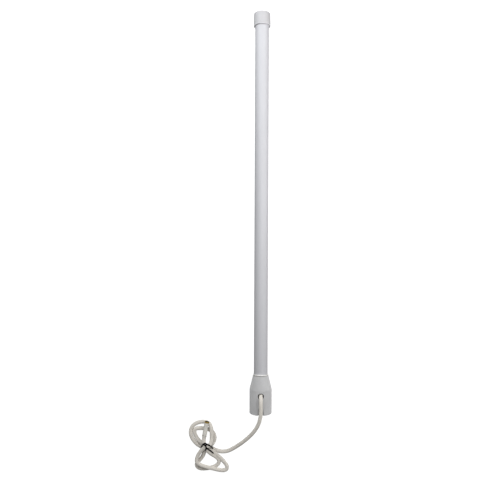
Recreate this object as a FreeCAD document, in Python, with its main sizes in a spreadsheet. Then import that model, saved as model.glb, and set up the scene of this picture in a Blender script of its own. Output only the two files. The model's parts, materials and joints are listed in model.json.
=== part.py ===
import FreeCAD, Part
import Sketcher
import math
import os
import re

# An omnidirectional antenna lying on a flat surface, in millimetres.
#
# The row frame: +Y runs along the radome from the base ferrule to the cap, +Z is up, and
# the surface is z = 0. The antenna itself is drawn standing up, its ferrule's mouth at
# z = 0 and its cap at the top, and one placement then lays it down. The connector is drawn
# along its own +Z, from its sleeve to its open end, and a second placement puts it on the
# cable's bundle. The front, where the cable leaves, is -Y standing and +Z lying.

V = FreeCAD.Vector
doc = FreeCAD.newDocument("OmniAntenna")

# --- driving dimensions -------------------------------------------------------------------

SIZES = [
    # the radome, its cap and the seal
    ("overall_length", 730.4, "ferrule mouth to cap top"),
    ("mouth_distance", 364.15, "from the frame's origin back to the ferrule's mouth"),
    ("tube_radius", 12.5, "radome tube, outside"),
    ("tube_bore", 10.5, "radome tube, inside radius"),
    ("tube_foot", 47.0, "lower end of the tube, on the ferrule's inner shoulder"),
    ("cap_radius", 15.2, ""),
    ("cap_height", 23.2, ""),
    ("cap_roof", 3.0, "thickness of the cap's end"),
    ("cap_round", 2.0, "rounding of the cap's outer edge"),
    ("seal_radius", 14.0, "bead of sealant round the tube"),
    ("seal_foot", 68.7, "where the bead sits on the ferrule's cone"),
    ("seal_height", 1.6, ""),
    ("play", 0.05, "gap between pieces pushed into one another"),
    # the base ferrule
    ("ferrule_radius", 20.2, ""),
    ("shoulder", 43.7, "where the ferrule's cylinder turns into its cone"),
    ("thread_radius", 11.72, "1 inch 14 internal thread, minor radius"),
    ("thread_depth", 22.0, ""),
    ("cavity_radius", 15.5, "room for the cable's bend above the thread"),
    ("cavity_top", 44.0, ""),
    ("step_radius", 10.7, "shoulder that the tube stands on, inside radius"),
    ("rim_round", 0.8, "rounding of the ferrule's outer edges"),
    ("hole_radius", 5.0, "cable hole in the ferrule's side"),
    ("hole_height", 34.5, ""),
    ("hole_chamfer", 0.5, ""),
    ("notch_width", 10.0, "groove for the cable, open at the ferrule's mouth"),
    ("notch_height", 14.0, ""),
    ("notch_depth", 3.5, ""),
    # the elements inside the tube
    ("coax_radius", 3.5, "cable, outside"),
    ("spacer_radius", 10.4, "pieces that fill the tube's bore"),
    ("plug_foot", 66.0, "sealing plug, lower end"),
    ("plug_height", 10.0, ""),
    ("clamp_radius", 5.4, ""),
    ("clamp_height", 6.0, ""),
    ("ferrite_radius", 7.5, ""),
    ("ferrite_height", 11.0, ""),
    ("ferrite_foot", 84.0, "lowest bead, lower end"),
    ("ferrite_step", 11.5, "from one bead to the next"),
    ("sleeve_foot", 121.0, "decoupling sleeve, lower end"),
    ("sleeve_length", 82.0, "a quarter wave"),
    ("sleeve_radius", 8.0, ""),
    ("sleeve_wall", 0.8, ""),
    ("insulator_height", 6.0, ""),
    ("core_radius", 1.0, "cable's inner conductor"),
    ("rod_radius", 3.0, "radiating rods"),
    ("rod_length", 205.0, "five eighths of a wave"),
    ("rod_socket", 6.0, "depth of the holes in the rods' ends"),
    ("former_radius", 4.0, ""),
    ("former_length", 30.0, ""),
    ("spigot_radius", 1.5, "coil former's ends, in the rods"),
    ("coil_wire", 0.8, "coil wire, radius"),
    ("coil_pitch", 4.0, ""),
    ("coil_length", 22.0, ""),
    ("disc_height", 5.0, ""),
    ("foam_length", 44.0, ""),
    # the connector, along its own axis from the sleeve's lower end
    ("shrink_foot", 0.6, "heat-shrink sleeve, lower end"),
    ("shrink_top", 25.6, ""),
    ("shrink_radius", 4.0, ""),
    ("shrink_bore", 3.55, ""),
    ("lip_radius", 4.2, "thicker turned end of the sleeve"),
    ("lip_height", 1.4, ""),
    ("bell_radius", 4.3, "the sleeve's upper end, round the nut's skirt"),
    ("bell_bore", 3.85, ""),
    ("cable_end", 5.0, "where the cable's jacket stops in the sleeve"),
    ("crimp_top", 20.0, ""),
    ("crimp_bore", 2.8, ""),
    ("flange_top", 22.6, "shoulder of the connector's body, below the nut"),
    ("body_neck", 2.9, "connector body where the nut turns on it"),
    ("nut_foot", 22.8, ""),
    ("nut_skirt", 3.75, "round part of the nut, inside the sleeve"),
    ("hex_foot", 25.7, "lower end of the nut's hexagon"),
    ("nut_top", 28.1, ""),
    ("nut_flats", 8.0, "across flats"),
    ("nut_bore", 3.0, ""),
    ("nut_edge", 0.4, "bevel at the nut's corners and mouth"),
    ("hexagon", 1.1547, "a hexagon's width across corners over its width across flats"),
    ("stem_foot", 6.0, "lower end of the body's stem, in the cable's braid"),
    ("stem_bore", 1.3, ""),
    ("groove_foot", 24.0, "groove for the nut's retaining ring"),
    ("groove_height", 0.8, ""),
    ("groove_radius", 2.45, ""),
    ("retainer_radius", 3.3, "retaining ring, outside"),
    ("seat", 25.6, "face that the gasket lies on"),
    ("gasket_radius", 2.85, ""),
    ("gasket_height", 0.5, ""),
    ("socket_radius", 2.3, "the body's open end"),
    ("socket_bore", 2.05, ""),
    ("socket_foot", 20.5, ""),
    ("socket_top", 26.3, ""),
    ("insulator_top", 26.2, ""),
    ("pin_radius", 0.46, ""),
    ("pin_foot", 18.0, ""),
    ("pin_shoulder", 27.2, "where the pin's point starts"),
    ("pin_top", 27.8, ""),
    ("pin_tip", 0.15, "radius of the pin's point"),
]

sheet = doc.addObject("Spreadsheet::Sheet", "Sizes")
for row, (alias, size, note) in enumerate(SIZES, start=1):
    sheet.set(f"A{row}", alias)
    sheet.set(f"B{row}", str(size))
    sheet.setAlias(f"B{row}", alias)
    sheet.set(f"C{row}", note)
doc.recompute()


def expression(text):
    """The text with each dimension's name pointed at the sheet."""
    return re.sub(r"([a-z][a-z_]+)", r"Sizes.\1", text)


def size(text):
    """The present value of a dimension, or of a sum of them."""
    return float(sheet.evalExpression(text))


# --- where the antenna and the connector lie ----------------------------------------------

# The antenna rests on the ferrule's shoulder and on the cap's edge, so its axis falls a
# little from the ferrule to the cap.
contact_span = size("overall_length - cap_round - shoulder")
lean = math.atan(size("ferrule_radius - cap_radius") / contact_span)
mouth_y = -size("mouth_distance")
mouth_z = size("ferrule_radius") * math.cos(lean) + size("shoulder") * math.sin(lean)
LAID_DOWN = FreeCAD.Placement(
    V(0, mouth_y, mouth_z),
    FreeCAD.Rotation(V(1, 0, 0), -90 - math.degrees(lean)),
)

SLEEVE_END = V(-103.4, -411.1, 13.5)
CONNECTOR_AXIS = V(5.2, 27.8, -1.2).normalize()
ON_BUNDLE = FreeCAD.Placement(SLEEVE_END, FreeCAD.Rotation(V(0, 0, 1), CONNECTOR_AXIS))

# --- ways of making a piece ---------------------------------------------------------------

PIECES = []


def new_body(label):
    """An empty PartDesign body, listed as one of the antenna's pieces."""
    body = doc.addObject("PartDesign::Body", "body_" + label)
    body.Label = label
    PIECES.append(body)
    return body


def new_sketch(body, name, plane):
    """A sketch on one of the body's own origin planes."""
    sketch = body.newObject("Sketcher::SketchObject", body.Label + "_" + name)
    support = [f for f in body.Origin.OriginFeatures if f.Role == plane][0]
    sketch.AttachmentSupport = (support, "")
    sketch.MapMode = "FlatFace"
    return sketch


def pin_point(sketch, line, across, up):
    """Ties the start of a line to dimensions across and up from the sketch's origin."""
    for kind, axis, text in (("DistanceX", -2, across), ("DistanceY", -1, up)):
        if text == "0":
            sketch.addConstraint(Sketcher.Constraint("PointOnObject", line, 1, axis))
            continue
        index = sketch.addConstraint(
            Sketcher.Constraint(kind, -1, 1, line, 1, size(text))
        )
        sketch.setExpression(f"Constraints[{index}]", expression(text))


def outline(sketch, corners):
    """A closed outline of straight lines through corners given as dimensions."""
    spots = [V(size(across), size(up), 0) for across, up in corners]
    for here, there in zip(spots, spots[1:] + spots[:1]):
        sketch.addGeometry(Part.LineSegment(here, there), False)
    for line in range(len(spots)):
        following = (line + 1) % len(spots)
        sketch.addConstraint(Sketcher.Constraint("Coincident", line, 2, following, 1))
    for line, (across, up) in enumerate(corners):
        pin_point(sketch, line, across, up)


def turned(label, corners, placement=LAID_DOWN):
    """A piece turned on a lathe: its half section as (radius, height) corners."""
    body = new_body(label)
    sketch = new_sketch(body, "section", "XZ_Plane")
    outline(sketch, corners)
    turn = body.newObject("PartDesign::Revolution", label + "_turn")
    turn.Profile = sketch
    turn.ReferenceAxis = (sketch, ["V_Axis"])
    turn.Angle = 360
    body.Placement = placement
    doc.recompute()
    return body


def ring(label, inner, outer, foot, top, placement=LAID_DOWN):
    """A plain washer, tube or disc."""
    corners = [(inner, foot), (outer, foot), (outer, top), (inner, top)]
    return turned(label, corners, placement)


def cut(body, name, sketch, expected, reversed_side):
    """A pocket through one side of a body, checked against the volume that it removes."""
    before = body.Shape.Volume
    pocket = body.newObject("PartDesign::Pocket", body.Label + "_" + name)
    pocket.Profile = sketch
    pocket.Type = "ThroughAll"
    pocket.Reversed = reversed_side
    doc.recompute()
    removed = before - body.Shape.Volume
    print(f"{name}: {removed:.0f} mm3 removed, about {expected:.0f} expected")
    if not 0.7 * expected < removed < 1.4 * expected:
        raise ValueError(name + " removes the wrong volume")
    return pocket


def edges_where(feature, test):
    """Names of a feature's edges all of whose sample points pass a test."""
    names = []
    for number, edge in enumerate(feature.Shape.Edges, start=1):
        if all(test(point) for point in edge.discretize(7)):
            names.append(f"Edge{number}")
    return names


def dress(body, kind, name, edges, alias):
    """A fillet or a chamfer on the body's tip, with its size from the sheet."""
    base = body.Tip
    feature = body.newObject("PartDesign::" + kind, body.Label + "_" + name)
    feature.Base = (base, edges)
    prop = "Radius" if kind == "Fillet" else "Size"
    feature.setExpression(prop, expression(alias))
    doc.recompute()
    return feature


def free_form(label, shape):
    """A piece whose shape is worked out here, because no feature suits it."""
    feature = doc.addObject("Part::Feature", "shape_" + label)
    feature.Label = label
    feature.Shape = shape
    PIECES.append(feature)
    return feature


def radius_of(point):
    return math.hypot(point.x, point.y)


# --- the radome, its cap and its seal -----------------------------------------------------


def radome():
    top = "overall_length - cap_roof - play"
    ring("radome_tube", "tube_bore", "tube_radius", "tube_foot", top)
    ring(
        "collar_seal",
        "tube_radius + play",
        "seal_radius",
        "seal_foot",
        "seal_foot + seal_height",
    )
    rim = "overall_length - cap_height"
    socket = "tube_radius + play"
    cap = turned(
        "top_cap",
        [
            (socket, rim),
            ("cap_radius", rim),
            ("cap_radius", "overall_length"),
            ("0", "overall_length"),
            ("0", "overall_length - cap_roof"),
            (socket, "overall_length - cap_roof"),
        ],
    )
    crown = size("overall_length")
    edge = size("cap_radius")
    edges = edges_where(
        cap.Tip, lambda p: abs(p.z - crown) < 0.01 and abs(radius_of(p) - edge) < 0.01
    )
    dress(cap, "Fillet", "edge", edges, "cap_round")


# --- the base ferrule ---------------------------------------------------------------------


def ferrule():
    socket = "tube_radius + play"
    body = turned(
        "base_ferrule",
        [
            ("thread_radius", "0"),
            ("ferrule_radius", "0"),
            ("ferrule_radius", "shoulder"),
            ("seal_radius - play", "seal_foot"),
            (socket, "seal_foot"),
            (socket, "tube_foot"),
            ("step_radius", "tube_foot"),
            ("step_radius", "cavity_top"),
            ("cavity_radius", "cavity_top"),
            ("cavity_radius", "thread_depth"),
            ("thread_radius", "thread_depth"),
        ],
    )
    outer = size("ferrule_radius")
    heights = (0.0, size("shoulder"))
    rims = edges_where(
        body.Tip,
        lambda p: abs(radius_of(p) - outer) < 0.01
        and min(abs(p.z - level) for level in heights) < 0.01,
    )
    dress(body, "Fillet", "rims", rims, "rim_round")

    # The cable hole, through the front wall only.
    hole = new_sketch(body, "hole", "XZ_Plane")
    centre = V(0, size("hole_height"), 0)
    hole.addGeometry(Part.Circle(centre, V(0, 0, 1), size("hole_radius")), False)
    hole.addConstraint(Sketcher.Constraint("PointOnObject", 0, 3, -2))
    up = hole.addConstraint(
        Sketcher.Constraint("DistanceY", -1, 1, 0, 3, size("hole_height"))
    )
    hole.setExpression(f"Constraints[{up}]", expression("hole_height"))
    wide = hole.addConstraint(Sketcher.Constraint("Radius", 0, size("hole_radius")))
    hole.setExpression(f"Constraints[{wide}]", expression("hole_radius"))
    wall = size("ferrule_radius - cavity_radius")
    cut(body, "hole_cut", hole, math.pi * size("hole_radius") ** 2 * wall, True)
    cavity = size("cavity_radius") + 0.5 * wall
    low = size("hole_height - hole_radius") - 0.1
    high = size("hole_height + hole_radius") + 0.1
    mouth = edges_where(
        body.Tip,
        lambda p: p.y < 0 and radius_of(p) > cavity and low < p.z < high,
    )
    dress(body, "Chamfer", "hole_edge", mouth[:1], "hole_chamfer")

    # The groove below it, open at the mouth and round at its top. It doesn't reach the
    # thread.
    notch = new_sketch(body, "notch", "XZ_Plane")
    notch.setExpression(
        "AttachmentOffset.Base.z", expression("ferrule_radius - notch_depth")
    )
    half = size("notch_width") / 2
    spring = size("notch_height") - half
    below = -2.0
    corners = [V(-half, spring, 0), V(-half, below, 0), V(half, below, 0), V(half, spring, 0)]
    for here, there in zip(corners, corners[1:]):
        notch.addGeometry(Part.LineSegment(here, there), False)
    crown = Part.Circle(V(0, spring, 0), V(0, 0, 1), half)
    notch.addGeometry(Part.ArcOfCircle(crown, 0, math.pi), False)
    for line in (0, 1):
        notch.addConstraint(Sketcher.Constraint("Coincident", line, 2, line + 1, 1))
    notch.addConstraint(Sketcher.Constraint("Tangent", 2, 2, 3, 1))
    notch.addConstraint(Sketcher.Constraint("Tangent", 3, 2, 0, 1))
    notch.addConstraint(Sketcher.Constraint("Horizontal", 1))
    notch.addConstraint(Sketcher.Constraint("Vertical", 0))
    notch.addConstraint(Sketcher.Constraint("PointOnObject", 3, 3, -2))
    rise = notch.addConstraint(Sketcher.Constraint("DistanceY", -1, 1, 3, 3, spring))
    notch.setExpression(
        f"Constraints[{rise}]", expression("notch_height - notch_width / 2")
    )
    span = notch.addConstraint(Sketcher.Constraint("Radius", 3, half))
    notch.setExpression(f"Constraints[{span}]", expression("notch_width / 2"))
    notch.addConstraint(Sketcher.Constraint("DistanceY", 1, 1, -1, 1, -below))
    face = 2 * half * spring + math.pi * half**2 / 2
    cut(body, "notch_cut", notch, face * size("notch_depth"), True)


# --- the elements inside the tube ---------------------------------------------------------


def elements():
    cable = "coax_radius + play"
    ring(
        "sealing_plug", cable, "spacer_radius", "plug_foot", "plug_foot + plug_height"
    )
    clamp_foot = "plug_foot + plug_height + play"
    ring(
        "strain_relief_clamp",
        cable,
        "clamp_radius",
        clamp_foot,
        clamp_foot + " + clamp_height",
    )
    for number in range(3):
        foot = f"ferrite_foot + {number} * ferrite_step"
        ring(
            f"ferrite_bead_{number + 1}",
            cable,
            "ferrite_radius",
            foot,
            foot + " + ferrite_height",
        )

    # The sleeve is open below and closed round the cable above.
    sleeve_top = "sleeve_foot + sleeve_length"
    sleeve_roof = sleeve_top + " - sleeve_wall"
    sleeve_bore = "sleeve_radius - sleeve_wall"
    turned(
        "decoupling_sleeve",
        [
            (sleeve_bore, "sleeve_foot"),
            ("sleeve_radius", "sleeve_foot"),
            ("sleeve_radius", sleeve_top),
            (cable, sleeve_top),
            (cable, sleeve_roof),
            (sleeve_bore, sleeve_roof),
        ],
    )
    block_foot = sleeve_top + " + play"
    rod_foot = block_foot + " + insulator_height + play"
    core = "core_radius + play"
    ring(
        "feed_insulator",
        core,
        "sleeve_radius",
        block_foot,
        block_foot + " + insulator_height",
    )
    ring(
        "centre_conductor",
        "0",
        "core_radius",
        sleeve_top + " - sleeve_wall / 2",
        rod_foot + " + rod_socket - play",
    )

    # The lower rod takes the cable's conductor below and the coil former above. The upper
    # rod has one hole, for the former.
    bore = "spigot_radius + play"
    rod_top = rod_foot + " + rod_length"
    turned(
        "lower_radiator",
        [
            (core, rod_foot),
            ("rod_radius", rod_foot),
            ("rod_radius", rod_top),
            (bore, rod_top),
            (bore, rod_top + " - rod_socket"),
            ("0", rod_top + " - rod_socket"),
            ("0", rod_foot + " + rod_socket"),
            (core, rod_foot + " + rod_socket"),
        ],
    )
    former_foot = rod_top + " + play"
    former_top = former_foot + " + former_length"
    turned(
        "coil_former",
        [
            ("0", former_foot + " - rod_socket + play"),
            ("spigot_radius", former_foot + " - rod_socket + play"),
            ("spigot_radius", former_foot),
            ("former_radius", former_foot),
            ("former_radius", former_top),
            ("spigot_radius", former_top),
            ("spigot_radius", former_top + " + rod_socket - play"),
            ("0", former_top + " + rod_socket - play"),
        ],
    )
    upper_foot = former_top + " + play"
    upper_top = upper_foot + " + rod_length"
    turned(
        "upper_radiator",
        [
            (bore, upper_foot),
            ("rod_radius", upper_foot),
            ("rod_radius", upper_top),
            ("0", upper_top),
            ("0", upper_foot + " + rod_socket"),
            (bore, upper_foot + " + rod_socket"),
        ],
    )

    # The coil: one wire wound round the former.
    winding = size("former_radius + coil_wire + play")
    margin = size("former_length - coil_length") / 2
    start = size(former_foot) + margin
    helix = Part.makeHelix(size("coil_pitch"), size("coil_length"), winding)
    section = Part.Wire(
        [Part.makeCircle(size("coil_wire"), V(winding, 0, 0), V(0, 1, 0))]
    )
    coil = Part.Wire(helix).makePipeShell([section], True, True)
    raised = FreeCAD.Placement(V(0, 0, start), FreeCAD.Rotation())
    free_form("phasing_coil", coil).Placement = LAID_DOWN * raised

    # Spacers keep the elements central: each one's bore, the foot of the element that it is
    # on, and how far its middle is above that foot.
    discs = [
        ("sleeve_radius", "sleeve_foot", 22.0),
        ("rod_radius", rod_foot, 92.0),
        ("rod_radius", upper_foot, 55.0),
        ("rod_radius", upper_foot, 168.0),
    ]
    for number, (hole, foot, rise) in enumerate(discs, start=1):
        ring(
            f"centring_disc_{number}",
            hole + " + play",
            "spacer_radius",
            f"{foot} + {rise} - disc_height / 2",
            f"{foot} + {rise} + disc_height / 2",
        )
    foam_foot = upper_top + " + play"
    ring("top_foam_plug", "0", "spacer_radius", foam_foot, foam_foot + " + foam_length")


# --- the cable ----------------------------------------------------------------------------


def tube_path(points):
    """A wire of straight runs joined by tangent arcs, each as large as its runs allow."""
    lengths = [(b - a).Length for a, b in zip(points, points[1:])]
    edges = []
    radii = []
    here = points[0]
    for index in range(1, len(points) - 1):
        corner = points[index]
        back = (points[index - 1] - corner).normalize()
        ahead = (points[index + 1] - corner).normalize()
        half_turn = (math.pi - back.getAngle(ahead)) / 2
        reach = 0.45 * min(lengths[index - 1], lengths[index])
        radius = reach / math.tan(half_turn)
        radii.append(radius)
        middle = (back + ahead).normalize()
        heart = corner + middle * (radius / math.cos(half_turn))
        start = corner + back * reach
        end = corner + ahead * reach
        edges.append(Part.LineSegment(here, start).toShape())
        edges.append(Part.Arc(start, heart - middle * radius, end).toShape())
        here = end
    edges.append(Part.LineSegment(here, points[-1]).toShape())
    return Part.Wire(edges), radii


def cable_tube(label, points):
    """The cable's own solid along a route, with its volume checked."""
    wire, radii = tube_path(points)
    radius = size("coax_radius")
    along = (points[1] - points[0]).normalize()
    section = Part.Wire([Part.makeCircle(radius, points[0], along)])
    tube = wire.makePipeShell([section], True, True)
    expected = math.pi * radius**2 * wire.Length
    print(f"{label}: {wire.Length:.1f} mm long, arc radii", [round(r, 1) for r in radii])
    print(f"{label}: volume {tube.Volume:.0f}, section times length {expected:.0f}")
    if abs(tube.Volume - expected) > 0.02 * expected:
        raise ValueError(label + " has the wrong volume")
    return free_form(label, tube)


# Where the cable crosses the ferrule's wall, leaning towards the mouth.
EXIT = V(0, mouth_y + 34.6, 37.8)

# The cable's free run: over the ferrule's face, past its mouth and down to the surface,
# then in one bow to the waist of the bundle.
LEAD_ROUTE = [
    EXIT,
    V(0.0, mouth_y + 32.2, 43.2),
    V(-0.1, mouth_y + 26.5, 47.0),
    V(-0.1, mouth_y + 18.0, 47.4),
    V(0.3, mouth_y + 5.0, 45.4),
    V(-2.1, mouth_y - 10.0, 42.2),
    V(-7.9, mouth_y - 24.0, 37.4),
    V(-18.0, mouth_y - 39.0, 29.6),
    V(-31.5, mouth_y - 54.0, 19.4),
    V(-45.5, mouth_y - 66.8, 9.8),
    V(-58.5, mouth_y - 75.8, 4.6),
    V(-70.5, mouth_y - 77.9, 3.5),
    V(-82.0, mouth_y - 75.2, 3.5),
    V(-92.5, mouth_y - 69.8, 3.6),
]

# The cable's run inside: down the middle of the tube, then over to the hole.
INNER_ROUTE = [
    V(0, 0, size("sleeve_foot + sleeve_length - sleeve_wall / 2 - play")),
    V(0, 0, 61.0),
    V(0, -1.5, 51.0),
    V(0, -6.5, 42.5),
]

# Its last run inside is in line with the first run outside.
LAST_RUN = (EXIT - LEAD_ROUTE[1]).normalize() * 6.5

# From the bundle's last pass into the connector's sleeve.
TAIL_ROUTE = [
    V(-103.2, -423.7, 15.2),
    SLEEVE_END - CONNECTOR_AXIS * 4.0,
    SLEEVE_END + CONNECTOR_AXIS * size("cable_end"),
]

# The tie's band round the bundle's waist.
TIE_CORNER = V(-111.9, -430.4, 0.1)
TIE_SIDES = V(23.8, 4.0, 20.2)
TIE_ROUND = 7.0
TIE_WALL = 1.2



def slab(points, bottom, top):
    """A flat block whose edge is a smooth closed curve through the points."""
    curve = Part.BSplineCurve()
    curve.interpolate([V(x, y, bottom) for x, y in points], PeriodicFlag=True)
    face = Part.Face(Part.Wire([curve.toShape()]))
    return face.extrude(V(0, 0, top - bottom))


def waist_block(inset, low, high):
    """A block inset from the tie's outer face, from low to high along Y."""
    corner = TIE_CORNER + V(inset, 0, inset)
    corner.y = low
    sides = TIE_SIDES - V(2 * inset, 0, 2 * inset)
    block = Part.makeBox(sides.x, high - low, sides.z, corner)
    along = [
        edge
        for edge in block.Edges
        if abs(edge.tangentAt(edge.FirstParameter).y) > 0.99
    ]
    return block.makeFillet(TIE_ROUND - inset, along)


def bundle():
    """The outer shape of the tied figure of eight: two loops, a stack and the waist."""
    one_high = 7.2
    two_high = 14.2
    upper_loop = slab(
        [
            (-104, -421),
            (-117, -425),
            (-128, -419),
            (-133, -404),
            (-126, -388),
            (-107, -381),
            (-92, -386),
            (-84, -404),
            (-80, -413),
            (-86.5, -422.5),
        ],
        0,
        one_high,
    )
    right_side = slab(
        [(-91, -425), (-95, -416), (-95, -400), (-91, -390), (-87, -400), (-87, -416)],
        0,
        two_high,
    )
    lower_loop = slab(
        [
            (-100, -443),
            (-109, -442),
            (-118, -451),
            (-122, -465),
            (-114, -479),
            (-92, -477),
            (-68, -482.5),
            (-57, -473),
            (-70, -449),
            (-88, -441),
        ],
        0,
        two_high,
    )
    waist = waist_block(TIE_WALL + 0.2, -444.0, -420.0)
    shape = waist.fuse([upper_loop, right_side, lower_loop]).removeSplitter()
    free_form("coax_bundle", shape.Solids[0])


def twist_tie():
    """The tie as one flat band round the bundle's waist."""
    low = TIE_CORNER.y
    high = low + TIE_SIDES.y
    opening = waist_block(TIE_WALL, low - TIE_SIDES.y, high + TIE_SIDES.y)
    free_form("twist_tie", waist_block(0, low, high).cut(opening))


def cable():
    inner = [LAID_DOWN.multVec(point) for point in INNER_ROUTE]
    cable_tube("coax_inner", inner + [EXIT + LAST_RUN, EXIT])
    cable_tube("coax_lead", LEAD_ROUTE)
    bundle()
    twist_tie()
    cable_tube("coax_tail", TAIL_ROUTE)


# --- the connector ------------------------------------------------------------------------


def connector():
    turned(
        "heat_shrink_sleeve",
        [
            ("shrink_bore", "shrink_foot"),
            ("lip_radius", "shrink_foot"),
            ("lip_radius", "shrink_foot + lip_height"),
            ("shrink_radius", "shrink_foot + 1.5 * lip_height"),
            ("shrink_radius", "flange_top - lip_height"),
            ("bell_radius", "flange_top"),
            ("bell_radius", "shrink_top"),
            ("bell_bore", "shrink_top"),
            ("bell_bore", "flange_top"),
            ("shrink_bore", "flange_top"),
        ],
        ON_BUNDLE,
    )
    ring(
        "crimp_ferrule",
        "crimp_bore",
        "coax_radius",
        "cable_end + play",
        "crimp_top",
        ON_BUNDLE,
    )
    stem = "crimp_bore - play"
    flange = "crimp_top + play"
    groove_top = "groove_foot + groove_height"
    turned(
        "connector_body",
        [
            ("stem_bore", "stem_foot"),
            (stem, "stem_foot"),
            (stem, flange),
            ("coax_radius", flange),
            ("coax_radius", "flange_top"),
            ("body_neck", "flange_top"),
            ("body_neck", "groove_foot"),
            ("groove_radius", "groove_foot"),
            ("groove_radius", groove_top),
            ("body_neck", groove_top),
            ("body_neck", "seat"),
            ("socket_radius", "seat"),
            ("socket_radius", "socket_top"),
            ("socket_bore", "socket_top"),
            ("socket_bore", "socket_foot"),
            ("stem_bore", "socket_foot"),
        ],
        ON_BUNDLE,
    )
    ring(
        "connector_insulator",
        "pin_radius + play",
        "socket_bore - play",
        "socket_foot + play",
        "insulator_top",
        ON_BUNDLE,
    )
    turned(
        "connector_pin",
        [
            ("0", "pin_foot"),
            ("pin_radius", "pin_foot"),
            ("pin_radius", "pin_shoulder"),
            ("pin_tip", "pin_top"),
            ("0", "pin_top"),
        ],
        ON_BUNDLE,
    )
    ring(
        "nut_retaining_ring",
        "groove_radius + play",
        "retainer_radius",
        "groove_foot + play",
        groove_top + " - play",
        ON_BUNDLE,
    )
    ring(
        "nut_gasket",
        "socket_radius + play",
        "gasket_radius",
        "seat + play",
        "seat + play + gasket_height",
        ON_BUNDLE,
    )

    # The coupling nut: turned first, then its six flats are cut.
    corner = "nut_flats / 2 * hexagon"
    nut = turned(
        "coupling_nut",
        [
            ("nut_bore", "nut_foot"),
            ("nut_skirt", "nut_foot"),
            ("nut_skirt", "hex_foot"),
            (corner + " - nut_edge", "hex_foot"),
            (corner, "hex_foot + nut_edge"),
            (corner, "nut_top - nut_edge"),
            (corner + " - nut_edge", "nut_top"),
            ("nut_bore + nut_edge", "nut_top"),
            ("nut_bore", "nut_top - nut_edge"),
            ("nut_bore", groove_top + " + 3 * play"),
            ("retainer_radius + 3 * play", groove_top + " + 3 * play"),
            ("retainer_radius + 3 * play", "groove_foot - 3 * play"),
            ("nut_bore", "groove_foot - 3 * play"),
        ],
        ON_BUNDLE,
    )
    flats = new_sketch(nut, "flats", "XY_Plane")
    reach = size(corner)
    turns = [math.radians(30 + 60 * k) for k in range(6)]
    corners = [V(reach * math.cos(turn), reach * math.sin(turn), 0) for turn in turns]
    for here, there in zip(corners, corners[1:] + corners[:1]):
        flats.addGeometry(Part.LineSegment(here, there), False)
    flats.addGeometry(Part.Circle(V(0, 0, 0), V(0, 0, 1), 2 * reach), False)
    flats.addGeometry(Part.Circle(V(0, 0, 0), V(0, 0, 1), reach), True)
    for line in range(6):
        following = (line + 1) % 6
        flats.addConstraint(Sketcher.Constraint("Coincident", line, 2, following, 1))
        flats.addConstraint(Sketcher.Constraint("PointOnObject", line, 1, 7))
        if line:
            flats.addConstraint(Sketcher.Constraint("Equal", 0, line))
    for circle in (6, 7):
        flats.addConstraint(Sketcher.Constraint("Coincident", circle, 3, -1, 1))
    flats.addConstraint(Sketcher.Constraint("PointOnObject", 1, 1, -2))
    wide = flats.addConstraint(Sketcher.Constraint("Radius", 7, reach))
    flats.setExpression(f"Constraints[{wide}]", expression(corner))
    outer = flats.addConstraint(Sketcher.Constraint("Radius", 6, 2 * reach))
    flats.setExpression(f"Constraints[{outer}]", expression("2 * (" + corner + ")"))
    hexagon = 1.5 * math.sqrt(3) * reach**2
    waste = (math.pi * reach**2 - hexagon) * size("nut_top - hex_foot")
    cut(nut, "flats_cut", flats, waste, True)


# --- build, check and write ---------------------------------------------------------------

radome()
ferrule()
elements()
cable()
connector()
doc.recompute()

for item in doc.Objects:
    if "Invalid" in item.State or "Error" in item.State:
        raise RuntimeError(item.Label + " failed")
os.makedirs("parts", exist_ok=True)
for piece in PIECES:
    if piece.Shape.isNull() or not piece.Shape.isValid():
        raise RuntimeError(piece.Label + " has no valid shape")
for piece in PIECES:
    piece.Shape.exportStep(os.path.join("parts", piece.Label + ".step"))
print(len(PIECES), "pieces written")
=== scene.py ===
import json
import math

import bpy
from mathutils import Matrix, Vector


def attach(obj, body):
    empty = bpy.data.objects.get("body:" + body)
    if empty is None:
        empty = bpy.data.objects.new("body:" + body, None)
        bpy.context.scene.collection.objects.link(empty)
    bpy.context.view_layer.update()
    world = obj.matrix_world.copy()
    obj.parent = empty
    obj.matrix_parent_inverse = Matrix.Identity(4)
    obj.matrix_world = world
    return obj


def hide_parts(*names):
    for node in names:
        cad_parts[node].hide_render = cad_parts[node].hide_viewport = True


# An omnidirectional antenna lying on a pale surface, seen from straight above.
# +Y runs along the radome from the base ferrule to the cap, and the surface is z = 0.

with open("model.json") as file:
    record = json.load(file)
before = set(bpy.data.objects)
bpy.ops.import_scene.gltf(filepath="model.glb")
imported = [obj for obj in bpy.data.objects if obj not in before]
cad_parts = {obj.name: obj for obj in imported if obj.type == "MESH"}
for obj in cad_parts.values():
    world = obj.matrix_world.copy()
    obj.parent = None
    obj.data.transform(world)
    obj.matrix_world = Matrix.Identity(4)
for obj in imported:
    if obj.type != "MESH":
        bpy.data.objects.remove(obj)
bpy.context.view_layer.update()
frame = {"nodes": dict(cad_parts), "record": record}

MM = 0.001
COAX_RADIUS = 3.5 * MM

# Driving dimensions, in mm. Heights are measured up the antenna from the ferrule's mouth.
MOUTH_Y = -364.15  # where the mouth lies along Y
OVERALL_LENGTH = 730.4
FERRULE_RADIUS = 20.2
SHOULDER = 43.7  # where the ferrule's cylinder turns into its cone
CAP_RADIUS = 15.2
CAP_ROUND = 2.0  # rounding of the cap's outer edge
HOLE_HEIGHT = 34.5  # middle of the cable's hole in the ferrule's side
GLUE_HEIGHT = 68.25  # foot of the stained band at the ferrule's top
SHADE_LINE_HEIGHT = 71.25  # top of the painted-shade line where the tube leaves the sealant
CAP_FOOT_LIT_EDGE = 707.65  # top of the painted-light band at the cap's foot

# --- camera -------------------------------------------------------------------------------


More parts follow.
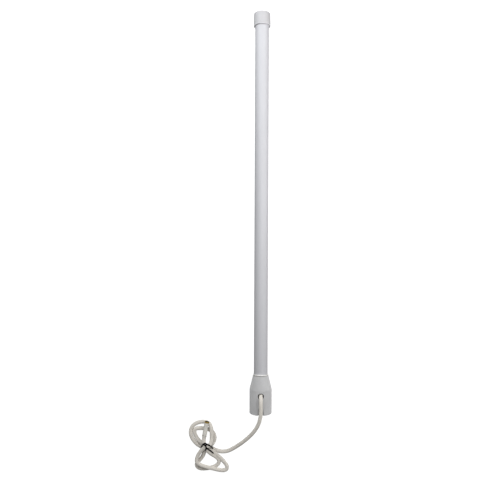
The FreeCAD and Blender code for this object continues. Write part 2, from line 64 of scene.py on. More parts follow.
def place_camera():
    """A camera straight above, with the whole antenna and its lead in view."""
    data = bpy.data.cameras.new("camera")
    data.sensor_width = 36.0
    data.lens = 38.16
    data.clip_start = 0.01
    camera = bpy.data.objects.new("camera", data)
    camera.location = Vector((-20.5, -67.35, 987.7)) * MM
    camera.rotation_euler = (0, 0, math.radians(0.25))
    bpy.context.scene.collection.objects.link(camera)
    bpy.context.scene.camera = camera


place_camera()

# --- the cable's route, in mm -------------------------------------------------------------

# From the hole in the ferrule's side, over its face, down to the surface and in one bow to
# the bundle's waist.
LEAD = [
    (0.0, MOUTH_Y + 34.6, 37.8),
    (0.0, MOUTH_Y + 32.2, 43.2),
    (-0.1, MOUTH_Y + 26.5, 47.0),
    (-0.1, MOUTH_Y + 18.0, 47.4),
    (0.3, MOUTH_Y + 5.0, 45.4),
    (-2.1, MOUTH_Y - 10.0, 42.2),
    (-7.9, MOUTH_Y - 24.0, 37.4),
    (-18.0, MOUTH_Y - 39.0, 29.6),
    (-31.5, MOUTH_Y - 54.0, 19.4),
    (-45.5, MOUTH_Y - 66.8, 9.8),
    (-58.5, MOUTH_Y - 75.8, 4.6),
    (-70.5, MOUTH_Y - 77.9, 3.5),
    (-82.0, MOUTH_Y - 75.2, 3.5),
    (-92.5, MOUTH_Y - 69.8, 3.6),
]

# The figure of eight: five passes under the tie, with two loops above it and two below.
OUTER_UPPER_LOOP = [
    (-101.0, -431.9, 4.5),
    (-108.9, -432.3, 4.8),
    (-115.2, -429.5, 4.0),
    (-120.9, -424.7, 3.5),
    (-125.6, -418.6, 3.5),
    (-128.7, -411.8, 3.5),
    (-129.5, -404.7, 3.5),
    (-127.8, -397.7, 3.5),
    (-123.5, -392.0, 3.5),
    (-117.1, -388.1, 3.5),
    (-109.6, -386.5, 3.5),
    (-102.6, -386.2, 3.8),
    (-96.4, -387.1, 5.5),
    (-92.1, -391.0, 9.0),
    (-90.1, -397.8, 10.7),
    (-89.6, -405.9, 10.8),
    (-89.5, -413.1, 11.2),
    (-89.8, -419.7, 12.8),
    (-91.9, -424.8, 15.0),
]
LONG_LOWER_LOOP = [
    (-97.0, -427.7, 16.3),
    (-103.8, -431.0, 15.2),
    (-109.5, -437.6, 12.4),
    (-114.4, -445.1, 11.0),
    (-117.3, -452.9, 10.6),
    (-116.9, -459.5, 10.6),
    (-111.5, -463.5, 10.6),
    (-102.6, -466.7, 10.6),
    (-92.6, -469.4, 9.8),
    (-83.5, -472.9, 6.5),
    (-75.3, -475.8, 3.8),
    (-67.9, -476.8, 3.5),
    (-62.1, -474.9, 3.5),
    (-60.7, -469.8, 3.5),
    (-64.5, -463.4, 3.5),
    (-70.5, -456.8, 3.5),
    (-77.3, -450.2, 3.9),
    (-84.6, -443.2, 6.5),
    (-91.8, -436.5, 9.0),
]
INNER_UPPER_LOOP = [
    (-98.7, -430.3, 9.8),
    (-105.8, -425.5, 8.5),
    (-112.3, -421.8, 6.0),
    (-117.7, -416.3, 3.8),
    (-121.3, -409.7, 3.5),
    (-122.7, -402.8, 3.5),
    (-119.3, -398.9, 3.5),
    (-112.4, -398.4, 3.5),
    (-104.5, -398.5, 3.5),
    (-96.9, -399.9, 3.5),
    (-89.9, -403.6, 3.5),
    (-85.3, -409.5, 3.5),
    (-83.9, -416.7, 3.5),
    (-86.0, -423.2, 4.8),
    (-90.5, -427.9, 8.5),
]
SHORT_LOWER_LOOP = [
    (-97.3, -432.9, 10.0),
    (-102.4, -438.8, 9.2),
    (-105.1, -446.7, 6.8),
    (-108.6, -453.3, 4.0),
    (-113.3, -458.2, 3.5),
    (-117.5, -462.7, 3.5),
    (-118.1, -467.8, 3.5),
    (-114.6, -471.8, 3.5),
    (-108.8, -473.5, 3.5),
    (-101.4, -473.3, 3.5),
    (-93.9, -472.2, 3.5),
    (-86.5, -470.4, 3.5),
    (-79.8, -466.9, 3.5),
    (-76.0, -461.7, 3.5),
    (-76.6, -456.1, 3.6),
    (-81.9, -450.9, 4.5),
    (-88.7, -445.9, 7.5),
    (-95.2, -438.9, 12.5),
    (-100.3, -431.3, 15.6),
]

# The connector lies on the upper loop. Its axis starts at the sleeve's lower end.
SLEEVE_END = Vector((-103.4, -411.1, 13.5))
CONNECTOR_AXIS = Vector((5.2, 27.8, -1.2)).normalized()
TAIL = [
    (-103.2, -423.7, 15.2),
    tuple(SLEEVE_END - 4.0 * CONNECTOR_AXIS),
    tuple(SLEEVE_END + 5.0 * CONNECTOR_AXIS),
]
ROUTE = (
    LEAD
    + OUTER_UPPER_LOOP
    + LONG_LOWER_LOOP
    + INNER_UPPER_LOOP
    + SHORT_LOWER_LOOP
    + TAIL
)

# --- ways of making a piece ---------------------------------------------------------------


def nurbs(name, points, radius=0.0):
    """A smooth open curve: control points in mm, and its tube's radius in metres."""
    data = bpy.data.curves.new(name, "CURVE")
    data.dimensions = "3D"
    spline = data.splines.new("NURBS")
    spline.points.add(len(points) - 1)
    for knot, point in zip(spline.points, points):
        knot.co = (*[x * MM for x in point], 1.0)
        knot.radius = radius
    spline.order_u = 3
    spline.use_endpoint_u = True
    data.resolution_u = 12
    piece = bpy.data.objects.new(name, data)
    bpy.context.scene.collection.objects.link(piece)
    return piece


def points_along(piece):
    """The points that a curve with no bevel really passes through."""
    bpy.context.view_layer.update()
    graph = bpy.context.evaluated_depsgraph_get()
    mesh = bpy.data.meshes.new_from_object(piece.evaluated_get(graph))
    points = [vertex.co.copy() for vertex in mesh.vertices]
    bpy.data.meshes.remove(mesh)
    return points


def placed(origin, axis):
    """A frame at an origin in mm whose +Z is the axis."""
    turn = Vector((0, 0, 1)).rotation_difference(axis).to_matrix().to_4x4()
    return Matrix.Translation(origin * MM) @ turn


def around(turn, radius, height):
    """A point on a cylinder about +Z."""
    return Vector((radius * math.cos(turn), radius * math.sin(turn), height))


def arc(radius, degrees):
    """Points on a circle about the origin, at each of some angles."""
    turns = [math.radians(angle) for angle in degrees]
    return [(radius * math.cos(turn), radius * math.sin(turn)) for turn in turns]


def heading(path, index):
    """The direction of a path at one of its points."""
    ahead = path[min(index + 1, len(path) - 1)]
    behind = path[max(index - 1, 0)]
    return (ahead - behind).normalized()


def mesh_piece(name, verts, faces, smooth=True):
    """An object made of a mesh's points in metres and its faces."""
    mesh = bpy.data.meshes.new(name)
    mesh.from_pydata([tuple(v) for v in verts], [], faces)
    mesh.update()
    mesh.validate()
    if smooth:
        mesh.polygons.foreach_set("use_smooth", [True] * len(mesh.polygons))
    piece = bpy.data.objects.new(name, mesh)
    bpy.context.scene.collection.objects.link(piece)
    return piece


def loft(name, rows, ring=False, smooth=True):
    """A skin over closed outlines in metres: a ring back to the first, or capped ends."""
    count = len(rows[0])
    faces = []
    for row in range(len(rows) if ring else len(rows) - 1):
        here = row * count
        there = (row + 1) % len(rows) * count
        for k in range(count):
            after = (k + 1) % count
            faces.append((here + k, there + k, there + after, here + after))
    if not ring:
        last = (len(rows) - 1) * count
        faces.append(tuple(range(count)))
        faces.append(tuple(last + k for k in reversed(range(count))))
    return mesh_piece(name, [point for row in rows for point in row], faces, smooth)


def lathe(name, profile, placement, steps, wobble):
    """A ring turned from (height, radius) points in mm, each one moved by the wobble."""
    rows = []
    for step in range(steps):
        turn = math.tau * step / steps
        row = []
        for point in profile:
            height, radius = wobble(turn, *point)
            row.append(placement @ (around(turn, radius, height) * MM))
        rows.append(row)
    return loft(name, rows, ring=True)


def sweep(name, path, outline, outwards):
    """A closed outline in mm swept along a path in metres, its second axis outwards."""
    rows = []
    for index, point in enumerate(path):
        along = heading(path, index)
        out = outwards(point)
        out = (out - along * out.dot(along)).normalized()
        side = along.cross(out)
        rows.append([point + (side * across + out * up) * MM for across, up in outline])
    return loft(name, rows)


# --- the cable ----------------------------------------------------------------------------


def make_cable():
    """The lead, the bundle and the tail, as one smooth tube."""
    cable = nurbs("coax_cable", ROUTE, COAX_RADIUS)
    cable.data.bevel_depth = 1.0  # times the knots' radius
    cable.data.bevel_resolution = 7
    cable.data.use_fill_caps = True
    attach(cable, "antenna")
    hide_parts("coax_lead", "coax_bundle", "coax_tail")
    return cable


cable = make_cable()

# --- where the antenna's and the connector's own axes lie ---------------------------------

# The antenna rests on the ferrule's shoulder and on the cap's edge, so its axis falls a
# little from the ferrule to the cap.
CONTACT_SPAN = OVERALL_LENGTH - CAP_ROUND - SHOULDER
LEAN = math.atan((FERRULE_RADIUS - CAP_RADIUS) / CONTACT_SPAN)
MOUTH_Z = FERRULE_RADIUS * math.cos(LEAN) + SHOULDER * math.sin(LEAN)
ALONG = Vector((0, math.cos(LEAN), -math.sin(LEAN)))

ON_ANTENNA = placed(Vector((0, MOUTH_Y, MOUTH_Z)), ALONG)
ON_CONNECTOR = placed(SLEEVE_END, CONNECTOR_AXIS)
ON_HOLE = placed(Vector((0, MOUTH_Y + HOLE_HEIGHT, 0)), Vector((0, 0, 1)))

# --- materials ----------------------------------------------------------------------------


class Shader:
    """A material's node tree, with short ways to add what these materials share."""

    def __init__(self, name, colour, roughness, metallic=0.0, specular=0.5):
        self.material = bpy.data.materials.new(name)
        self.material.use_nodes = True
        self.tree = self.material.node_tree
        self.surface = self.tree.nodes["Principled BSDF"]
        self.surface.inputs["Base Color"].default_value = (*colour, 1)
        self.surface.inputs["Roughness"].default_value = roughness
        self.surface.inputs["Metallic"].default_value = metallic
        self.surface.inputs["Specular IOR Level"].default_value = specular
        self.place = self.node("ShaderNodeTexCoord").outputs["Object"]  # in metres

    def node(self, kind, **settings):
        """A new node of a kind, with some of its settings."""
        made = self.tree.nodes.new(kind)
        for key, value in settings.items():
            setattr(made, key, value)
        return made

    def link(self, source, target):
        self.tree.links.new(source, target)

    def noise(self, scale, detail, stretch=(1, 1, 1)):
        """Noise over the surface's own place, with each axis scaled by the stretch."""
        mapping = self.node("ShaderNodeMapping")
        mapping.inputs["Scale"].default_value = stretch
        self.link(self.place, mapping.inputs["Vector"])
        made = self.node("ShaderNodeTexNoise")
        made.inputs["Scale"].default_value = scale
        made.inputs["Detail"].default_value = detail
        made.inputs["Roughness"].default_value = 0.55
        self.link(mapping.outputs["Vector"], made.inputs["Vector"])
        return made.outputs["Fac"]

    def ramp(self, source, stops):
        """A colour ramp over a value: stops are (position, colour)."""
        made = self.node("ShaderNodeValToRGB")
        elements = made.color_ramp.elements
        while len(elements) < len(stops):
            elements.new(0.5)
        for element, (position, colour) in zip(elements, stops):
            element.position = position
            element.color = (*colour, 1)
        self.link(source, made.inputs["Fac"])
        return made.outputs["Color"]

    def clouded(self, noise, base, darkest, lightest, low=0.3):
        """A colour made darker and lighter by a noise, which runs from low to 1 - low."""
        stops = [(low, shade(base, darkest)), (1 - low, shade(base, lightest))]
        return self.ramp(noise, stops)

    def range(self, source, low, high, out_low, out_high):
        """A value carried from one range to another, and held at its ends."""
        made = self.node("ShaderNodeMapRange")
        made.inputs["From Min"].default_value = low
        made.inputs["From Max"].default_value = high
        made.inputs["To Min"].default_value = out_low
        made.inputs["To Max"].default_value = out_high
        self.link(source, made.inputs["Value"])
        return made.outputs["Result"]

    def step(self, source, at, before, after, blur):
        """One value before a distance in mm and another after it, blended either side."""
        return self.range(source, (at - blur) * MM, (at + blur) * MM, before, after)

    def mix(self, factor, first, second):
        """Two colours mixed by a factor; each is a socket or a plain colour."""
        made = self.node("ShaderNodeMix", data_type="RGBA")
        # The node has sockets for every type of mix, and these are a colour's.
        factor_socket, first_socket, second_socket = (made.inputs[i] for i in (0, 6, 7))
        self.link(factor, factor_socket)
        for socket, value in ((first_socket, first), (second_socket, second)):
            if isinstance(value, tuple):
                socket.default_value = (*value, 1)
            else:
                self.link(value, socket)
        return made.outputs[2]

    def at_height(self, height, below, above, blur):
        """One value below a height on the antenna in mm, and another above it."""
        parts = self.node("ShaderNodeSeparateXYZ")
        self.link(self.place, parts.inputs["Vector"])
        return self.step(parts.outputs["Y"], MOUTH_Y + height, below, above, blur)

    def in_frame(self, placement):
        """A place's X, Y and Z within a placed frame."""
        mapping = self.node("ShaderNodeMapping", vector_type="TEXTURE")
        mapping.inputs["Location"].default_value = placement.to_translation()
        mapping.inputs["Rotation"].default_value = placement.to_euler()
        self.link(self.place, mapping.inputs["Vector"])
        parts = self.node("ShaderNodeSeparateXYZ")
        self.link(mapping.outputs["Vector"], parts.inputs["Vector"])
        return parts.outputs

    def from_axis(self, placement):
        """How far a place is from the Z axis of a placed frame."""
        parts = self.in_frame(placement)
        across = self.node("ShaderNodeCombineXYZ")
        self.link(parts["X"], across.inputs["X"])
        self.link(parts["Y"], across.inputs["Y"])
        length = self.node("ShaderNodeVectorMath", operation="LENGTH")
        self.link(across.outputs["Vector"], length.inputs[0])
        return length.outputs["Value"]

    def colour(self, source):
        self.link(source, self.surface.inputs["Base Color"])

    def roughness(self, noise, smoothest, roughest, low=0.3):
        """Roughness that follows a noise, which runs from low to 0.7."""
        source = self.range(noise, low, 0.7, smoothest, roughest)
        self.link(source, self.surface.inputs["Roughness"])

    def bump(self, source, height, strength):
        """Relief that follows a noise: its height in metres, and how much of it shows."""
        made = self.node("ShaderNodeBump")
        made.inputs["Distance"].default_value = height
        made.inputs["Strength"].default_value = strength
        self.link(source, made.inputs["Height"])
        self.link(made.outputs["Normal"], self.surface.inputs["Normal"])


def shade(colour, factor):
    """A colour made darker or lighter by a factor."""
    return tuple(min(1.0, c * factor) for c in colour)


def radome_white():
    """Satin gel coat: faint streaks along the tube, and painted shade where it leaves the bead.
    """
    base = (0.545, 0.545, 0.565)
    made = Shader("radome_white", base, 0.5, specular=0.35)
    streaks = made.noise(140, 4, (1, 0.03, 1))
    cloud = made.noise(14, 3, (1, 0.4, 1))
    streaked = made.clouded(streaks, base, 0.975, 1.02)
    clouded = made.mix(made.range(cloud, 0.35, 0.65, 0.0, 0.5), streaked, shade(base, 0.965))
    # Painted shade: the tube is darker just above where it leaves the bead, standing in for the
    # shade in that crease.
    painted_shade = made.at_height(SHADE_LINE_HEIGHT, 0.85, 0.0, blur=0.3)
    made.colour(made.mix(painted_shade, clouded, shade(base, 0.66)))
    made.roughness(cloud, 0.46, 0.56)
    made.bump(streaks, 0.00003, 0.35)
    return made.material


def cap_white():
    """Injection-moulded cap: fine grain, greyer than the tube, with painted light on its lower
    edge.
    """
    base = (0.485, 0.48, 0.49)
    made = Shader("cap_white", base, 0.52, specular=0.35)
    grain = made.noise(2600, 2)
    cloud = made.noise(60, 3)
    # Painted light: the cap's lower edge is lightened to stand in for light falling on it.
    edge = made.at_height(CAP_FOOT_LIT_EDGE, 1.0, 0.0, blur=0.2)
    made.colour(made.mix(edge, made.clouded(cloud, base, 0.96, 1.03), shade(base, 1.75)))
    made.roughness(cloud, 0.48, 0.6)
    made.bump(grain, 0.00002, 0.4)
    return made.material


def ferrule_grey():
    """Mottled grey nylon, stained at its top edge, with painted shade inside the cable's hole.
    """
    base = (0.6, 0.6, 0.6)
    stain = (0.36, 0.345, 0.29)
    hole_shade_colour = (0.015, 0.012, 0.008)
    made = Shader("ferrule_grey", base, 0.5)
    made.surface.inputs["Diffuse Roughness"].default_value = 1.0
    grain = made.noise(1900, 3)
    cloud = made.noise(55, 4)
    mottle = made.range(made.noise(330, 2), 0.35, 0.65, 0.0, 0.6)
    mottled = made.mix(mottle, made.clouded(cloud, base, 0.94, 1.05), shade(base, 0.93))
    stained = made.mix(made.at_height(GLUE_HEIGHT, 0.0, 0.4, blur=0.2), mottled, stain)
    # Painted shade: the wall of the cable's hole is made near black, standing in for the shade
    # inside it.
    hole = made.step(made.from_axis(ON_HOLE), 5.5, 1.0, 0.0, blur=0.1)
    made.colour(made.mix(hole, stained, hole_shade_colour))
    made.roughness(cloud, 0.44, 0.56)
    made.bump(grain, 0.00003, 0.5)
    return made.material


def sealant_white():
    """A smoothed bead of white sealant."""
    base = (0.96, 0.95, 0.92)
    made = Shader("sealant_white", base, 0.4)
    cloud = made.noise(180, 3)
    made.colour(made.clouded(cloud, base, 0.93, 1.0, low=0.35))
    made.bump(cloud, 0.0001, 0.4)
    return made.material


def cable_white():
    """Extruded off-white jacket, with faint handling marks and a soft sheen."""
    base = (0.765, 0.73, 0.67)
    handled = (0.50, 0.47, 0.43)
    made = Shader("cable_white", base, 0.5, specular=0.3)
    made.surface.inputs["Diffuse Roughness"].default_value = 0.6
    cloud = made.noise(70, 4)
    marks = made.noise(420, 3)
    clouded = made.clouded(cloud, base, 0.93, 1.04)
    made.colour(made.mix(made.range(marks, 0.62, 0.75, 0.0, 0.35), clouded, handled))
    made.roughness(cloud, 0.45, 0.6)
    made.bump(marks, 0.00004, 0.4)
    return made.material


def shrink_white():
    """Heat-shrunk sleeve: a little translucent, creased, with painted shade at its lip and in
    its groove.
    """
    base = (0.765, 0.74, 0.68)
    shade_colour = (0.22, 0.20, 0.17)
    made = Shader("shrink_white", base, 0.42)
    creases = made.noise(500, 3, (1, 0.15, 1))
    creased = made.clouded(creases, base, 0.94, 1.03, low=0.35)
    # How much painted shade there is at each height in mm above the sleeve's lower end.
    reach = 4.0
    shade_by_height = [(0.56, 0.7), (0.88, 0.0), (1.84, 0.0), (2.16, 0.9), (2.8, 0.9), (3.12, 0.0)]
    along = made.in_frame(ON_CONNECTOR)["Z"]
    painted_shade = made.ramp(
        made.range(along, 0.0, reach * MM, 0.0, 1.0),
        [(height / reach, (amount,) * 3) for height, amount in shade_by_height],
    )
    made.colour(made.mix(painted_shade, creased, shade_colour))
    made.surface.inputs["Subsurface Weight"].default_value = 0.05
    made.surface.inputs["Subsurface Radius"].default_value = (MM, MM, MM)
    made.bump(creases, 0.00008, 0.5)
    return made.material


def tie_black():
    """Black plastic over a wire, with faint paler scuffs."""
    base = (0.004, 0.003, 0.004)
    scuffed = (0.02, 0.017, 0.018)
    made = Shader("tie_black", base, 0.5, specular=0.12)
    scuffs = made.noise(900, 3)
    made.colour(made.ramp(scuffs, [(0.6, base), (0.85, scuffed)]))
    made.roughness(scuffs, 0.45, 0.65, low=0.4)
    made.bump(scuffs, 0.00005, 0.4)
    return made.material


def plated(name, colour, roughness, grain=1500):
    """Bright plating with fine turning marks and slightly duller patches."""
    made = Shader(name, colour, roughness, metallic=1.0)
    cloud = made.noise(260, 3)
    made.colour(made.clouded(cloud, colour, 0.85, 1.0, low=0.35))
    made.roughness(cloud, roughness * 0.8, roughness * 1.3)
    made.bump(made.noise(grain, 3, (1, 4, 1)), 0.00001, 0.4)
    return made.material


def gold_plate():
    """Gold plating, with painted shade down in the nut's bore."""
    gold = (0.80, 0.56, 0.16)
    bore_shade = (0.03, 0.018, 0.002)
    made = Shader("gold_plate", gold, 0.25, metallic=1.0)
    cloud = made.noise(260, 3)
    plating = made.clouded(cloud, gold, 0.8, 1.0, low=0.35)
    # Painted shade covers the bore's wall, and not the pin in the middle of it.
    out = made.from_axis(ON_CONNECTOR)
    bore = made.node("ShaderNodeMath", operation="MULTIPLY")
    made.link(made.step(out, 3.6, 1.0, 0.0, blur=0.2), bore.inputs[0])
    made.link(made.step(out, 0.7, 0.0, 1.0, blur=0.1), bore.inputs[1])
    made.colour(made.mix(bore.outputs["Value"], plating, bore_shade))
    made.roughness(cloud, 0.2, 0.36)
    made.bump(made.noise(1500, 3, (1, 4, 1)), 0.00001, 0.4)
    return made.material


def moulded(name, colour, roughness=0.5, grain=1500, depth=0.00003, spread=0.06):
    """A plain moulded, cast or foamed material: clouded colour and a fine grain."""
    made = Shader(name, colour, roughness)
    cloud = made.noise(90, 4)
    made.colour(made.clouded(cloud, colour, 1 - spread, 1 + spread))
    made.roughness(cloud, roughness * 0.9, min(1.0, roughness * 1.1))
    made.bump(made.noise(grain, 3), depth, 0.5)
    return made.material


MATERIALS = {
    "radome_white": radome_white(),
    "cap_white": cap_white(),
    "ferrule_grey": ferrule_grey(),
    "sealant_white": sealant_white(),
    "cable_white": cable_white(),
    "shrink_white": shrink_white(),
    "tie_black": tie_black(),
    "gold_plate": gold_plate(),
    "crimp_nickel": plated("crimp_nickel", (0.68, 0.66, 0.62), 0.25),
    "spring_steel": plated("spring_steel", (0.55, 0.55, 0.56), 0.3),
    "element_brass": plated("element_brass", (0.72, 0.54, 0.26), 0.28, 900),
    "element_copper": plated("element_copper", (0.78, 0.40, 0.24), 0.25, 900),
    "ptfe_white": moulded("ptfe_white", (0.82, 0.82, 0.80), 0.45),
    "gasket_red": moulded("gasket_red", (0.42, 0.06, 0.04), 0.55),
    "plug_rubber": moulded("plug_rubber", (0.03, 0.03, 0.03), 0.7, 900, 0.00006, 0.2),
    "ferrite_black": moulded("ferrite_black", (0.05, 0.05, 0.055), 0.6, 1200, 0.00005, 0.2),
    "spacer_nylon": moulded("spacer_nylon", (0.74, 0.71, 0.62), 0.5),
    "packing_foam": moulded("packing_foam", (0.66, 0.66, 0.70), 0.9, 700, 0.0003, 0.1),
}


def dress(piece, slot):
    """Gives a piece the material of one of the record's slots."""
    piece.data.materials.clear()
    piece.data.materials.append(MATERIALS[slot])


def dress_cad_nodes():
    """Gives every CAD node the material of its own slot."""
    slots = {row["node"]: row["material_slot"] for row in frame["record"]["subparts"]}
    for name, node in frame["nodes"].items():
        if not node.material_slots:
            node.data.materials.append(MATERIALS[slots[name]])
        for place in node.material_slots:
            place.material = MATERIALS[slots[name]]


dress_cad_nodes()
dress(cable, "cable_white")

# --- the twist tie ------------------------------------------------------------------------

WAIST = Vector((-99.5, -430.5, 9.5)) * MM  # the middle of the bundle's waist

# The tie goes twice round the waist, and starts and ends on top of it, where its two ends
# are twisted together. Both routes are in mm.
TIE_ROUTE = [
    (-99.2, -426.3, 20.4),
    (-101.8, -422.9, 20.2),
    (-104.9, -423.5, 18.8),
    (-107.0, -426.7, 15.0),
    (-108.8, -430.4, 11.0),
    (-110.2, -433.2, 8.0),
    (-111.0, -436.5, 3.5),
    (-109.4, -438.6, 0.9),
    (-102.7, -438.2, 0.9),
    (-94.3, -437.4, 0.9),
    (-88.4, -437.2, 2.5),
    (-86.9, -433.8, 8.5),
    (-88.1, -430.9, 13.0),
    (-90.2, -427.1, 17.2),
    (-93.3, -424.5, 19.4),
    (-96.6, -423.0, 19.6),
    (-99.0, -421.7, 19.6),
    (-101.2, -420.8, 19.5),
    (-103.0, -421.5, 19.3),
    (-105.3, -423.6, 18.0),
    (-107.3, -427.3, 14.0),
    (-109.5, -431.7, 9.5),
    (-110.8, -436.5, 4.0),
    (-109.0, -440.1, 0.9),
    (-101.7, -442.3, 0.9),
    (-92.4, -445.6, 0.9),
    (-87.3, -447.0, 2.0),
    (-85.1, -444.4, 7.0),
    (-86.3, -441.4, 11.0),
    (-89.7, -438.3, 12.8),
    (-92.9, -435.4, 14.6),
    (-95.8, -432.4, 17.4),
    (-97.8, -429.8, 19.8),
    (-99.2, -427.2, 20.6),
]
PIGTAIL_ROUTE = [
    (-98.9, -422.9, 20.2),
    (-99.4, -425.2, 21.0),
    (-99.4, -427.3, 21.2),
    (-98.6, -429.6, 20.8),
    (-99.5, -432.3, 19.6),
    (-100.8, -434.6, 18.4),
]


def route_points(route):
    """The points of the smooth curve that a route in mm makes."""
    curve = nurbs("route", route)
    path = points_along(curve)
    bpy.data.objects.remove(curve)
    return path


def make_tie():
    """A plastic-coated wire, twice round the waist."""
    core_radius = 0.55
    core = arc(core_radius, range(30, 151, 20))  # its outward side, clear of the flat wings
    half_width = 1.25
    half_thickness = 0.16
    outline = (
        [(half_width, half_thickness)]
        + core
        + [(-half_width, half_thickness), (-half_width, -half_thickness)]
        + [(x, -y) for x, y in reversed(core)]
        + [(half_width, -half_thickness)]
    )
    band = sweep(
        "twist_tie_band",
        route_points(TIE_ROUTE),
        outline,
        lambda point: Vector((point.x - WAIST.x, 0, point.z - WAIST.z)),
    )
    dress(band, "tie_black")
    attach(band, "antenna")
    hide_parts("twist_tie")
    return band


def make_pigtail():
    """The tie's two ends, twisted together and pressed down on the bundle."""
    path = route_points(PIGTAIL_ROUTE)
    strand_radius = 0.6
    winding_radius = 0.62
    winding = 5.0 * math.pi  # two and a half turns
    strands = []
    for number in range(2):
        places = []
        for index, point in enumerate(path):
            along = heading(path, index)
            side = along.cross(Vector((0, 0, 1))).normalized()
            up = side.cross(along)
            turn = math.pi * number + winding * index / (len(path) - 1)
            out = side * math.cos(turn) + up * math.sin(turn)
            places.append(point + out * winding_radius * MM)
        strand = sweep(
            f"twist_tie_end_{number + 1}",
            places,
            arc(strand_radius, range(0, 360, 36)),
            lambda point: Vector((1, 0, 0.2)),
        )
        dress(strand, "tie_black")
        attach(strand, "antenna")
        strands.append(strand)
    return strands


tie_pieces = [make_tie(), *make_pigtail()]

# --- the connector's sleeve, the bead of sealant and the thread ---------------------------


def make_sleeve():
    """The sleeve: a turned lip, a groove, and a body shrunk over the crimp's step."""

    def shrunk(turn, height, radius):
        on_body = 3.5 < height < 21.0 and radius > 3.7
        wide = 0.05 * math.sin(3 * turn + 0.35 * height)
        narrow = 0.03 * math.sin(7 * turn - 0.8 * height)
        return height, radius + (wide + narrow) * on_body

    # Heights above the sleeve's lower end, round the outside and back to the bore.
    profile = [
        (0.9, 3.56),
        (0.6, 3.75),
        (0.5, 4.05),
        (0.7, 4.25),
        (1.7, 4.28),
        (2.0, 4.1),
        (2.2, 3.75),
        (2.8, 3.72),
        (3.2, 3.92),
        (5.0, 3.99),
        (7.0, 4.0),
        (9.0, 3.97),
        (11.0, 3.99),
        (12.5, 4.03),
        (14.0, 4.05),
        (17.0, 4.02),
        (20.0, 4.0),
        (21.6, 4.05),
        (22.6, 4.26),
        (24.0, 4.3),
        (25.3, 4.3),
        (25.55, 4.22),
        (25.6, 4.05),
        (25.5, 3.86),
        (22.7, 3.85),
        (22.2, 3.57),
    ]
    sleeve = lathe("connector_sleeve", profile, ON_CONNECTOR, 96, shrunk)
    dress(sleeve, "shrink_white")
    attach(sleeve, "antenna")
    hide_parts("heat_shrink_sleeve")
    return sleeve


def make_bead():
    """The bead of sealant between the tube and the ferrule, finished by hand."""
    rise = 1.2  # how much higher the bead rides on the side that faces up

    def uneven(turn, height, radius):
        outer = radius > 12.9
        wave = 0.5 * math.sin(3 * turn + 1.0) + 0.3 * math.sin(7 * turn)
        height += rise * max(0.0, -math.sin(turn)) + 0.07 * wave * outer
        return height, radius + 0.06 * math.sin(5 * turn) * outer

    # Heights above the ferrule's mouth.
    profile = [
        (68.72, 12.56),
        (68.70, 13.5),
        (68.80, 13.9),
        (69.10, 14.05),
        (69.55, 14.0),
        (69.95, 13.7),
        (70.22, 13.2),
        (70.32, 12.56),
    ]
    bead = lathe("sealant_bead", profile, ON_ANTENNA, 120, uneven)
    dress(bead, "sealant_white")
    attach(bead, "antenna")
    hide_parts("collar_seal")
    return bead


def make_thread():
    """The ferrule's internal thread: a low ridge winding up its bore, in mm."""
    pitch = 25.4 / 14
    bore = 11.72
    sunk = 0.05  # how far the ridge's foot stands in the bore's wall
    ridge = 0.45
    foot_half = 0.8
    crest_half = 0.12
    lowest = 1.8
    highest = 20.6
    steps = 64  # in one turn
    fade = 24  # steps over which each end runs out
    count = int((highest - lowest) / pitch * steps)
    rows = []
    for i in range(count + 1):
        turn = math.tau * i / steps
        height = lowest + pitch * i / steps
        crest = bore - ridge * min(1.0, i / fade, (count - i) / fade)
        outline = [
            (bore + sunk, foot_half),
            (crest, crest_half),
            (crest, -crest_half),
            (bore + sunk, -foot_half),
        ]
        rows.append(
            [ON_ANTENNA @ (around(turn, out, height + up) * MM) for out, up in outline]
        )
    thread = loft("ferrule_thread", rows, smooth=False)
    dress(thread, "ferrule_grey")
    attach(thread, "antenna")


sleeve = make_sleeve()
make_bead()
make_thread()

# --- floor and lights ---------------------------------------------------------------------


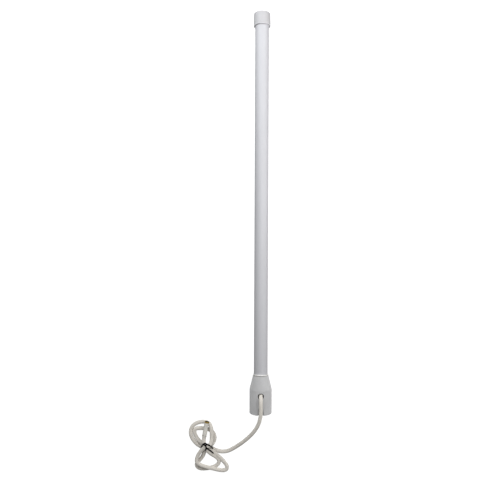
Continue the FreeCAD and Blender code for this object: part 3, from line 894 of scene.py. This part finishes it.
def make_floor():
    """A pale, evenly bright floor that throws no light on what lies on it."""
    reach = 6.0
    low = -0.2 * MM  # just under what lies on it
    corners = [(-reach, -reach), (reach, -reach), (reach, reach), (-reach, reach)]
    floor = mesh_piece("floor", [(x, y, low) for x, y in corners], [(0, 1, 2, 3)], smooth=False)
    paint = Shader("floor_white", (0.3, 0.3, 0.3), 0.9, specular=0.1)
    paint.surface.inputs["Emission Color"].default_value = (1, 1, 1, 1)
    paint.surface.inputs["Emission Strength"].default_value = 0.94
    floor.data.materials.append(paint.material)
    floor.visible_diffuse = False
    floor.visible_glossy = False


def area_light(name, at, aim, size, power, colour=(1, 1, 1)):
    """A soft box at a place in metres, facing its aim."""
    data = bpy.data.lights.new(name, "AREA")
    data.shape = "RECTANGLE"
    data.size, data.size_y = size
    data.energy = power
    data.color = colour
    light = bpy.data.objects.new(name, data)
    light.location = at
    toward = Vector(aim) - Vector(at)
    light.rotation_euler = toward.to_track_quat("-Z", "Y").to_euler()
    bpy.context.scene.collection.objects.link(light)


def make_world():
    """A white studio: full strength where it is seen, and a soft fill on the object."""
    fill = 0.26
    world = bpy.data.worlds.new("studio")
    bpy.context.scene.world = world
    world.use_nodes = True
    tree = world.node_tree
    sky = tree.nodes["Background"]
    sky.inputs["Color"].default_value = (0.995, 1.0, 1.0, 1)
    seen = tree.nodes.new("ShaderNodeLightPath")
    strength = tree.nodes.new("ShaderNodeMapRange")
    strength.inputs["To Min"].default_value = fill
    strength.inputs["To Max"].default_value = 1.0
    tree.links.new(seen.outputs["Is Camera Ray"], strength.inputs["Value"])
    tree.links.new(strength.outputs["Result"], sky.inputs["Strength"])


make_floor()
area_light(
    "key",
    at=(0.42, 0.48, 0.6),
    aim=(0.0, 0.25, 0.0),
    size=(0.8, 0.9),
    power=4.0,
    colour=(1.0, 0.99, 1.01),
)
area_light("top", at=(-0.35, 0.5, 0.95), aim=(0.0, 0.15, 0.0), size=(0.9, 0.9), power=4.6)
area_light(
    "beyond",
    at=(-0.45, 0.6, 0.35),
    aim=(0.0, 0.33, 0.0),
    size=(0.4, 0.4),
    power=2.2,
    colour=(0.95, 1.0, 1.04),
)
area_light("side", at=(0.6, 0.12, 0.45), aim=(0.0, 0.08, 0.0), size=(0.6, 0.9), power=3.0)
make_world()

view = bpy.context.scene.view_settings
view.view_transform = "Standard"
view.look = "None"
view.exposure = 0.0
view.gamma = 1.0
